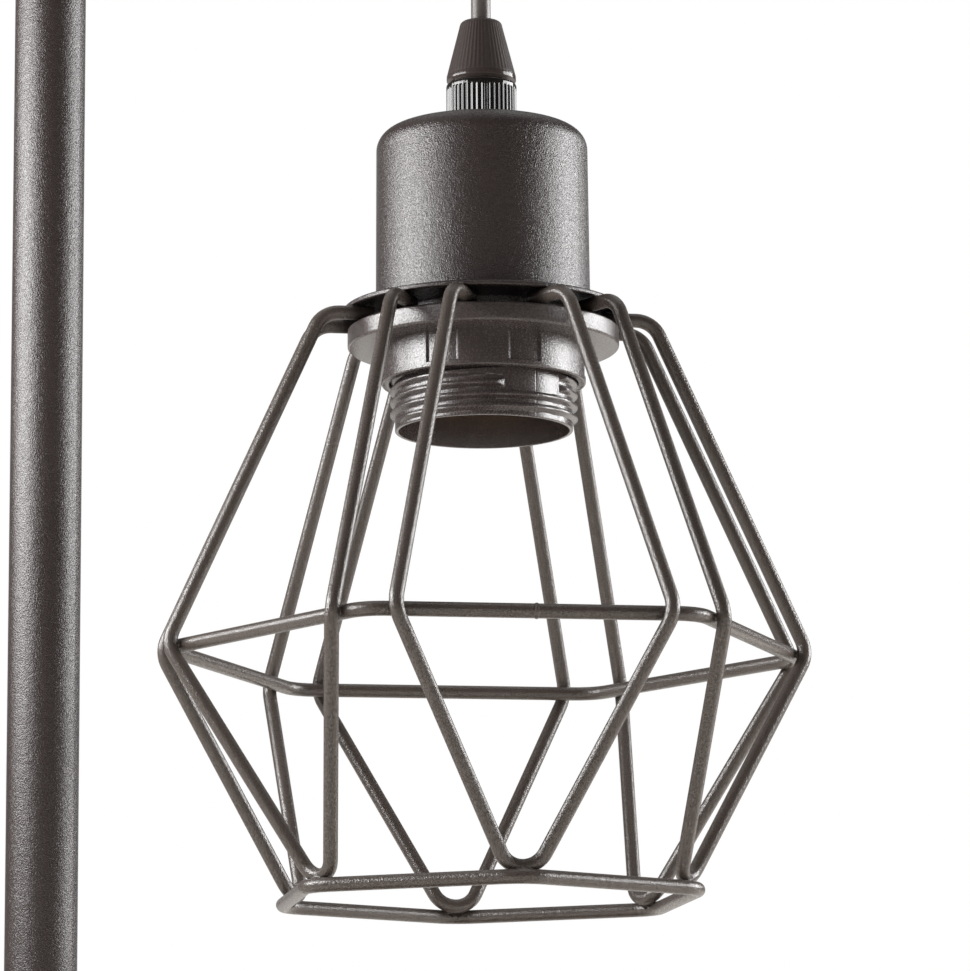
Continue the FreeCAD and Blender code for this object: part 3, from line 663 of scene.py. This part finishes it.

# The same powder on wire: it draws thin over the round, so its grains lie apart. Its lighter, browner
# colour is painted light, standing in for the light that the thin wires catch.
wire_coat = painted_under_plate_shade(powder("powder_coat_on_wire", coat_grain=0.34, grain_depth=0.09 * MM,
                           dull=0.3, shiny=0.82, dark="#423b37", light="#4c443f"))
dress(plate_coat, "cage_plate")
dress(wire_coat, "cage_belt_ring", "cage_bottom_ring", *loops)

weld_reach = 0.45 * MM
weld_step = 0.4 * MM
weld_spacing = 8 * MM
weld_sink = 0.2 * MM
weld_deep = 1.2 * MM
weld_waist = 0.22
weld_columns = 24
weld_rows = 6
belt_weld = (1.05 * MM, 1.05 * MM)
foot_weld = (2.6 * MM, 1.1 * MM)


def wire_skin(name):
    mesh = nodes[name].data
    return BVHTree.FromPolygons([v.co for v in mesh.vertices], [p.vertices for p in mesh.polygons])


# Middle and direction of each place where a loop all but touches a ring.
def weld_places(loop, ring_skin):
    places = []
    for edge in loop.edges:
        start, end = (loop.vertices[index].co for index in edge.vertices)
        steps = max(1, round((end - start).length / weld_step))
        for step in range(steps):
            point = start.lerp(end, step / steps)
            near = ring_skin.find_nearest(point, weld_reach)[0]
            if near is None:
                continue
            middle = (point + near) / 2
            group = next((g for g in places if (g[0][0] - middle).length < weld_spacing), None)
            if group is None:
                places.append([(middle, near - point)])
            else:
                group.append((middle, near - point))
    return [(sum((m for m, _ in group), Vector()) / len(group),
             sum((d for _, d in group), Vector()).normalized()) for group in places]


# A web of coat between two wires, drawn in at its waist, with both ends sunk into the wires.
def weld_web(shape, loop_skin, ring_skin, middle, across_gap, length, width):
    outward = Vector((middle.x - pendant_x, middle.y, 0))
    along = Vector((0, 0, 1)).cross(outward)
    along = (along - across_gap * along.dot(across_gap)).normalized()
    beside = across_gap.cross(along)
    rings = [[] for row in range(weld_rows + 1)]
    for column in range(weld_columns):
        angle = 2 * math.pi * column / weld_columns
        offset = along * (length * math.cos(angle)) + beside * (width * math.sin(angle))
        loop_side = loop_skin.ray_cast(middle + offset, -across_gap, weld_deep)[0] or middle + offset
        ring_side = ring_skin.ray_cast(middle + offset, across_gap, weld_deep)[0] or middle + offset
        for row, ring in enumerate(rings):
            share = row / weld_rows
            point = (loop_side - across_gap * weld_sink).lerp(ring_side + across_gap * weld_sink, share)
            ring.append(shape.verts.new(point - offset * (weld_waist * 4 * share * (1 - share))))
    skin_rings(shape, rings, closed=False)


webs = bmesh.new()
for ring_name, weld in (("cage_belt_ring", belt_weld), ("cage_bottom_ring", foot_weld)):
    ring_skin = wire_skin(ring_name)
    for loop in loops:
        loop_skin = wire_skin(loop)
        for middle, across_gap in weld_places(nodes[loop].data, ring_skin):
            weld_web(webs, loop_skin, ring_skin, middle, across_gap, *weld)

# The belt ring's ends meet in a butt weld near the middle of one side, which leaves a low bead.
bead_bearing = math.radians(-60)
bead_aside = 7 * MM
bead_height = 0.16 * MM
bead_length = 1.8 * MM
bead_rows = 10
belt_low, belt_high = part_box("cage_belt_ring")
belt_skin = wire_skin("cage_belt_ring")
outward = Vector((math.cos(bead_bearing), math.sin(bead_bearing), 0))
upright = Vector((0, 0, 1))
belt_run = upright.cross(outward)
belt_axis = Vector((pendant_x, 0, (belt_low.z + belt_high.z) / 2))
wire_inside = belt_skin.ray_cast(belt_axis + belt_run * bead_aside, outward)[0]
wire_outside = belt_skin.ray_cast(wire_inside + outward * weld_sink, outward)[0]
bead_middle = (wire_inside + wire_outside) / 2
wire_radius = (wire_outside - wire_inside).length / 2
bead_rings = [[] for row in range(bead_rows + 1)]
for row, bead_ring in enumerate(bead_rings):
    share = 2 * row / bead_rows - 1
    reach = wire_radius - weld_sink + (bead_height + weld_sink) * math.cos(math.pi / 2 * share) ** 2
    centre = bead_middle + belt_run * (share * bead_length / 2)
    for column in range(weld_columns):
        angle = 2 * math.pi * column / weld_columns
        spoke = outward * math.cos(angle) + upright * math.sin(angle)
        bead_ring.append(webs.verts.new(centre + spoke * reach))
skin_rings(webs, bead_rings, closed=False)
cage_welds = finished("cage_weld_webs", webs)
seat(cage_welds, wire_coat, "pendant", "powder_coat")


# Studio: a white table that glows away from the lamp and so runs into the white behind without an
# edge, a soft box at each side, and a weak one overhead. The side of the camera is dark.
table = bmesh.new()
table_reach = 4.0
table_place = Matrix.Translation((0, 0, cad_low.z))
bmesh.ops.create_grid(table, x_segments=1, y_segments=1, size=table_reach, matrix=table_place)
floor = finished("pale_table", table)
acrylic, tree, shader, place = new_finish("lit_white_acrylic")
acrylic_mottle = 4.0
mottle = add_node(tree, "ShaderNodeTexNoise", {
    "Vector": place, "Scale": 1000 / acrylic_mottle}).outputs["Fac"]
from_lamp = add_node(tree, "ShaderNodeVectorMath", {0: place}, operation="LENGTH").outputs["Value"]
table_glow = add_node(tree, "ShaderNodeMapRange", {
    "Value": from_lamp, "From Min": 0.15, "From Max": 0.9, "To Min": 0.0, "To Max": 0.78}).outputs["Result"]
shader.inputs["Roughness"].default_value = 0.9
shader.inputs["Emission Color"].default_value = linear("#fffaf4")
tree.links.new(table_glow, shader.inputs["Emission Strength"])
tree.links.new(shade_ramp(tree, mottle, 0.3, "#f0e9e1", 0.7, "#f4eee6"), shader.inputs["Base Color"])
floor.data.materials.append(acrylic)

view_azimuth = math.radians(26.863)
view_rise = math.radians(10.545)
view_roll = math.radians(-0.444)
camera_place = Vector((485.1, -839.0, 120.7)) * MM
to_camera = Vector((math.sin(view_azimuth), -math.cos(view_azimuth), 0))
cage_middle = Vector((pendant_x, 0, 0.27))


# A soft box at a bearing from the camera's side, positive to the picture's right.
def soft_box(name, bearing, distance, z, width, tall, radiance):
    lamp = bpy.data.lights.new(name, "AREA")
    lamp.shape = "RECTANGLE"
    lamp.size = width
    lamp.size_y = tall
    lamp.energy = radiance * math.pi * width * tall
    holder = bpy.data.objects.new(name, lamp)
    aim = Matrix.Rotation(math.radians(bearing), 3, "Z") @ to_camera
    holder.location = cage_middle + aim * distance
    holder.location.z = z
    holder.rotation_euler = (holder.location - cage_middle).to_track_quat("Z", "Y").to_euler()
    holder.visible_camera = False
    bpy.context.scene.collection.objects.link(holder)


soft_box("left_box", bearing=-78, distance=0.4, z=0.42, width=0.4, tall=0.2, radiance=14.5)
soft_box("right_box", bearing=103, distance=1.3, z=0.64, width=1.1, tall=0.6, radiance=12.3)
soft_box("top_box", bearing=180, distance=0.3, z=1.7, width=1.6, tall=1.6, radiance=0.8)

world = bpy.data.worlds.new("white_studio")
bpy.context.scene.world = world
world.use_nodes = True
tree = world.node_tree
direction = add_node(tree, "ShaderNodeTexCoord", {}).outputs["Generated"]
facing = add_node(tree, "ShaderNodeVectorMath", {
    0: direction, 1: to_camera}, operation="DOT_PRODUCT").outputs["Value"]
sides = add_node(tree, "ShaderNodeMapRange", {
    "Value": facing, "From Min": -0.5, "From Max": 0.4, "To Min": 0.12, "To Max": 0.065}).outputs["Result"]
behind = add_node(tree, "ShaderNodeMapRange", {
    "Value": facing, "From Min": -0.98, "From Max": -0.85, "To Min": 0.5, "To Max": 0.0}).outputs["Result"]
glow = add_node(tree, "ShaderNodeMath", {0: sides, 1: behind}, operation="ADD").outputs[0]
seen = add_node(tree, "ShaderNodeLightPath", {}).outputs["Is Camera Ray"]
brightness = add_node(tree, "ShaderNodeMath", {0: glow, 1: seen}, operation="MAXIMUM").outputs[0]
tree.links.new(brightness, tree.nodes["Background"].inputs["Strength"])
tree.nodes["Background"].inputs["Color"].default_value = (1.0, 1.0, 1.0, 1.0)
bpy.context.scene.view_settings.view_transform = "Standard"


# Camera: the photograph's own place, just above the table and looking up at the cage.
focal_pixels = 4500
picture_width = 970
lens = bpy.data.cameras.new("photo_view")
lens.sensor_width = 36.0
lens.lens = focal_pixels / picture_width * lens.sensor_width
forward = -to_camera * math.cos(view_rise) + Vector((0, 0, math.sin(view_rise)))
across = forward.cross(Vector((0, 0, 1))).normalized()
upward = across.cross(forward)
rolled_across = across * math.cos(view_roll) + upward * math.sin(view_roll)
rolled_upward = upward * math.cos(view_roll) - across * math.sin(view_roll)
turn = Matrix((rolled_across, rolled_upward, -forward)).transposed()
camera = bpy.data.objects.new("photo_view", lens)
camera.matrix_world = Matrix.Translation(camera_place) @ turn.to_4x4()
bpy.context.scene.collection.objects.link(camera)
bpy.context.scene.camera = camera
